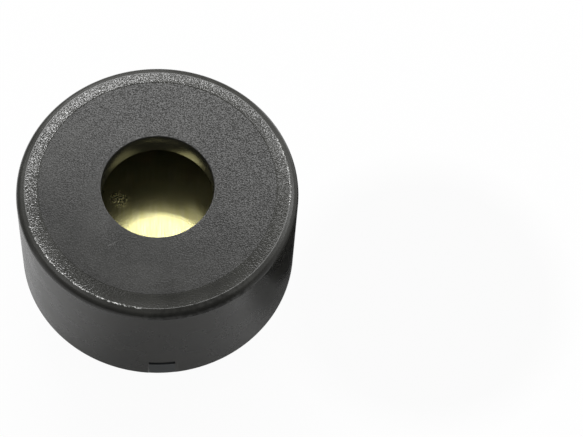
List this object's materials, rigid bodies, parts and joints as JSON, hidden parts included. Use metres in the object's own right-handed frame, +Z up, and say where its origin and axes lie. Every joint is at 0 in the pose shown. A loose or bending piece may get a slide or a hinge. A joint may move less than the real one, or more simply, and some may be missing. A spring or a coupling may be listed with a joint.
{
  "type": "piezo buzzer",
  "caption": "Round board-mounting sounder: a brass and ceramic disc drives a chamber behind a wide port, with sprung hairpin wire terminals below.",
  "frame": {"origin": "centre of the seating plane, where the bosses and pegs meet the circuit board, midway between the two terminals", "axes": "+Z runs up along the case out through the sound port, +X runs from the rim terminal to the centre terminal, and the keying notch faces -Y"},
  "size_m": [0.022, 0.022, 0.016],
  "materials": {
    "case_plastic": "satin side, finely textured top face, frosted band around it",
    "plate_plastic": "satin, moulded",
    "brass": "rolled sheet, semi-bright, with fine rolling lines",
    "silvered_ceramic": "fired silver electrode, matt",
    "silicone": "cured white adhesive, slightly glossy",
    "tinned_wire": "bright tin plate on spring wire"
  },
  "bodies": {
    "root": {"case": "case_plastic", "base_plate": "plate_plastic", "brass_disc": "brass", "ceramic_disc": "silvered_ceramic", "adhesive_ring": "silicone", "rim_terminal": "tinned_wire", "centre_terminal": "tinned_wire"}
  },
  "joints": []
}
